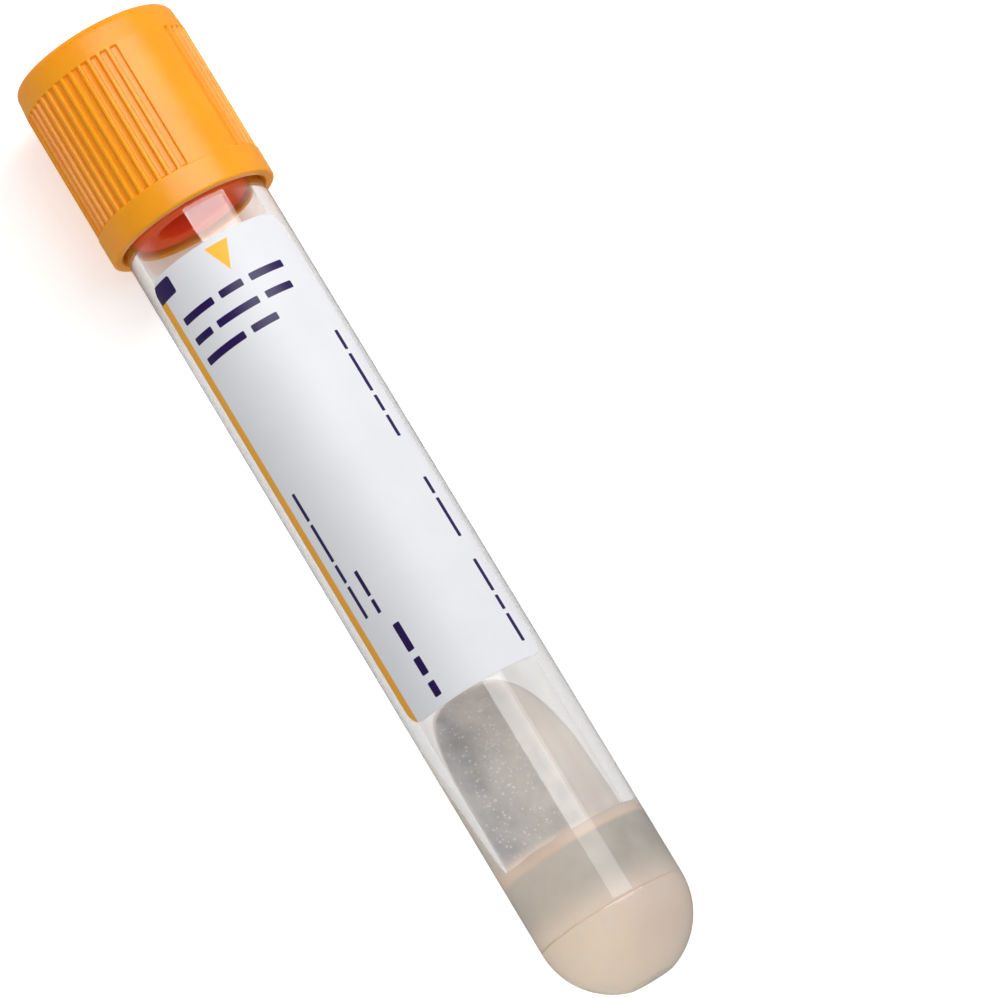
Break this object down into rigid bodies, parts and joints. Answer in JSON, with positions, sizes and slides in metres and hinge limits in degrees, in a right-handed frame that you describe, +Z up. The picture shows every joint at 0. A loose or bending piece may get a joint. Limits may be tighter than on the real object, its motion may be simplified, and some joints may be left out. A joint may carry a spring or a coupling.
{
  "type": "blood collection tube",
  "caption": "Round-bottomed clear blood collection tube with a wrapped label, separator gel and a soft stopper in a ribbed pull-off safety shield, lying on its side.",
  "frame": {"origin": "middle of the footprint, on the surface the tube lies on", "axes": "+X along the tube from the closure to the round bottom, +Z up; the tube's own axis rises 0.9 degrees towards the closure"},
  "size_m": [0.1076, 0.0182, 0.0183],
  "materials": {
    "clear_plastic": "clear moulded plastic, polished",
    "label_paper": "coated label paper, satin",
    "gel": "cloudy gel",
    "stopper_rubber": "matte soft rubber",
    "shield_plastic": "semi-gloss moulded plastic"
  },
  "bodies": {
    "tube": {"tube": "clear_plastic", "label": "label_paper", "separator_gel": "gel"},
    "closure": {"stopper": "stopper_rubber", "shield": "shield_plastic"}
  },
  "joints": [
    {"name": "closure_pull", "type": "slide", "parent": "tube", "child": "closure", "axis": [-0.9999, 0, 0.016], "range_m": [0, 0.03]}
  ]
}
